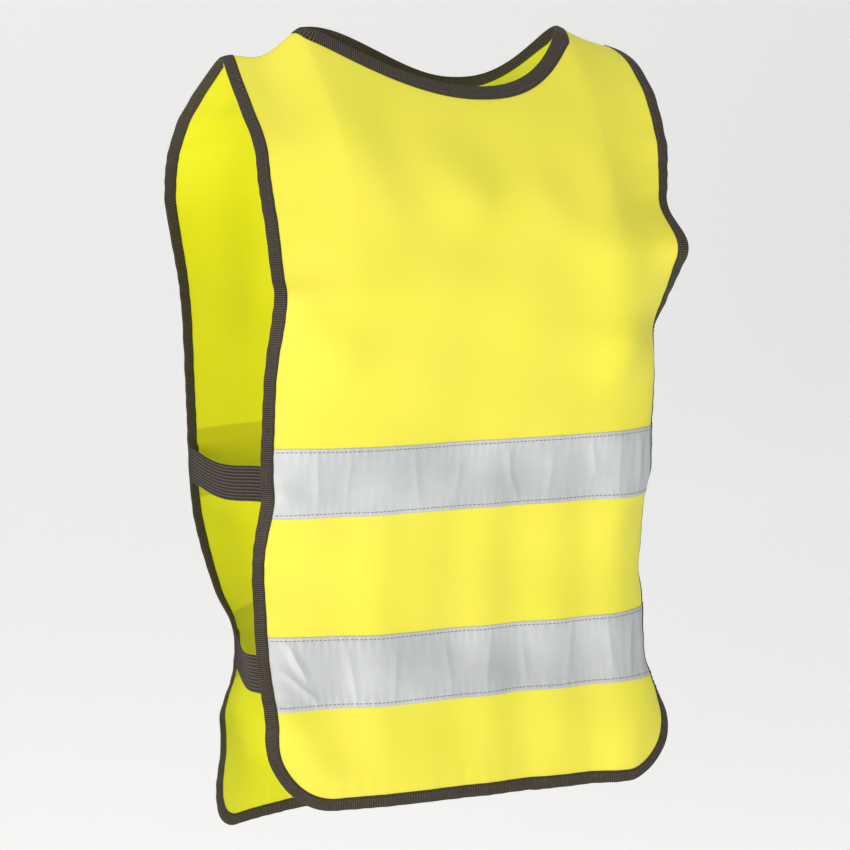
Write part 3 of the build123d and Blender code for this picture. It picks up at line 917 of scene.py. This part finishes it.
# ---------------------------------------------------------------------------------------------
# Bar-tacks: dense zigzag stitching through the binding that holds each end of an elastic.
TACK_HEIGHT, TACK_WIDTH, TACK_STITCHES = 0.020, 0.0016, 34
for side in (FRONT, BACK):
    parts = []
    for level in TAPES[side]:
        for hand in (1, -1):
            d = level + np.linspace(-0.5, 0.5, TACK_STITCHES) * TACK_HEIGHT
            s = np.full(TACK_STITCHES, hand * (HALF - BINDING * 0.45))
            slant = np.where(np.arange(TACK_STITCHES) % 2, 1, -1) * 0.0004
            high = LEG + BINDING_THICK + OVER_TAPE * 0.6 + 0.3 * THREAD
            points = off_cloth(side, s, d, high)
            ahead = (off_cloth(side, s + TACK_WIDTH / 2, d + slant, high)
                     - off_cloth(side, s - TACK_WIDTH / 2, d - slant, high))
            parts.append((points, ahead, normal_at(side, s, d)))
    piece = stitches(f"{SIDE_NAMES[side]}_elastic_bartacks",
                     *(np.concatenate(part) for part in zip(*parts)), TACK_WIDTH, THREAD)
    piece.data.materials.append(dark_thread)
    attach(piece, SIDE_NAMES[side])
    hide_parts(f"{SIDE_NAMES[side]}_strap_bartacks")

# ---------------------------------------------------------------------------------------------
# Shoulder seams: front and back are overlocked together along the ridge, and the bundle of
# cut edges lies on the inside, under the ridge.
SEAM_DEEP = 0.0062
SEAM_HALF = 0.0012


def seam_mesh(name, hand):
    """A rounded strip hanging from the ridge: an oval section carried from neck to tip, waved a
    little by the overlock thread."""
    u = np.linspace(0.02, 0.98, 120)
    angle = np.radians(np.arange(0, 360, 30))
    ridge = 0.5 * (cloth(FRONT, hand * (NECK_HALF + u * np.linalg.norm(SHOULDER)), 0 * u)
                   + cloth(BACK, hand * (NECK_HALF + u * np.linalg.norm(SHOULDER)), 0 * u))
    ripple = 1 + 0.12 * np.sin(2 * np.pi * u * 24)
    y = np.cos(angle)[:, None] * SEAM_HALF * ripple
    z = (np.sin(angle)[:, None] - 1.15) * SEAM_DEEP / 2
    verts = ridge[None] + np.stack([np.zeros_like(y), y, np.broadcast_to(z, y.shape)], -1)
    rows, cols = verts.shape[:2]
    faces = grid_faces(rows, cols, closed_rows=True)
    ends = []
    for column in (0, cols - 1):
        ids = np.arange(rows) * cols + column
        ends.append(np.array([[ids[k], ids[k + 1], ids[10 - k], ids[11 - k]] for k in range(5)]))
    uv = np.stack(np.broadcast_arrays(u[None, :] * 0.06, angle[:, None] * 0.001), -1)
    piece = new_piece(name, verts, np.concatenate([faces] + ends), uv)
    clean_normals(piece)
    return piece


# The overlock's grooves between the ribs take painted shade.
seam_material = ribbed_material("overlocked edge", (0.42, 0.44, 0.02), (0.80, 0.80, 0.05),
                                0.0025, 0.0003)
for hand, name in ((1, "left"), (-1, "right")):
    seam = seam_mesh(f"{name}_overlocked_seam", hand)
    seam.data.materials.append(seam_material)
    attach(seam, "back")
    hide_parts(f"{name}_shoulder_seam")

for side, flat, area in ((FRONT, (0.312, 0.560), 0.168), (BACK, (0.312, 0.610), 0.185)):
    trims = [bindings[side, place] for place in ("edge", "neck")]
    trims += [tapes[side, height] for height in TAPE_NAMES]

# ---------------------------------------------------------------------------------------------
# Stage: a plain pale floor and soft studio light.
BEND = 1.5                       # radius between the floor and the wall behind
floor_level = cad_box[0][2] - 0.30
bend = np.radians(np.linspace(0, 90, 40))
sweep = np.concatenate([[[-8.0, floor_level]],
                        np.stack([2.5 + BEND * np.sin(bend),
                                  floor_level + BEND * (1 - np.cos(bend))], -1),
                        [[2.5 + BEND, 7.0]]])
rows = [np.column_stack([np.full(len(sweep), x), sweep]) for x in (-9.0, 9.0)]
floor = new_piece("floor", np.concatenate(rows), grid_faces(2, len(sweep)))
floor_material, _, _, floor_shader = new_material("pale floor", (0.90, 0.90, 0.90), 0.95)
floor_shader.inputs["Emission Color"].default_value = (1, 1, 1, 1)
floor_shader.inputs["Emission Strength"].default_value = 0.22
floor.data.materials.append(floor_material)

world = bpy.data.worlds.new("studio")
world.use_nodes = True
world.node_tree.nodes["Background"].inputs["Color"].default_value = (1, 1, 1, 1)
world.node_tree.nodes["Background"].inputs["Strength"].default_value = 0.50
bpy.context.scene.world = world


def soft_light(name, place, target, size, power, tint=(1, 1, 1)):
    light = bpy.data.lights.new(name, "AREA")
    light.shape = "DISK"
    light.size = size
    light.energy = power
    light.color = tint
    lamp = bpy.data.objects.new(name, light)
    bpy.context.collection.objects.link(lamp)
    lamp.location = place
    aim = Vector(target) - Vector(place)
    lamp.rotation_euler = aim.to_track_quat("-Z", "Y").to_euler()


soft_light("key", (-1.8, -2.1, -0.1), (0, 0, -0.3), 0.8, 49, (1.0, 0.94, 0.86))
soft_light("fill", (-2.2, 0.4, 0.2), (0, 0, -0.3), 1.2, 7)
soft_light("top", (0.1, 0.5, 1.7), (0, 0, -0.2), 1.0, 6)

# Camera at the height of the shoulders, a little to the wearer's right
CAMERA_FAR = 2.4
AZIMUTH, ELEVATION, ROLL = np.radians([-27.0, 9.0, 0.9])
target = Vector((0, 0, -0.28))
camera_data = bpy.data.cameras.new("camera")
camera_data.lens = 144.0
camera = bpy.data.objects.new("camera", camera_data)
bpy.context.collection.objects.link(camera)
way = Vector((np.sin(AZIMUTH) * np.cos(ELEVATION), -np.cos(AZIMUTH) * np.cos(ELEVATION),
                 np.sin(ELEVATION)))
camera.location = target + way * CAMERA_FAR
camera.rotation_euler = (-way).to_track_quat("-Z", "Y").to_euler()
camera.rotation_euler.rotate_axis("Z", ROLL)
bpy.context.scene.camera = camera
bpy.context.scene.view_settings.view_transform = "Standard"
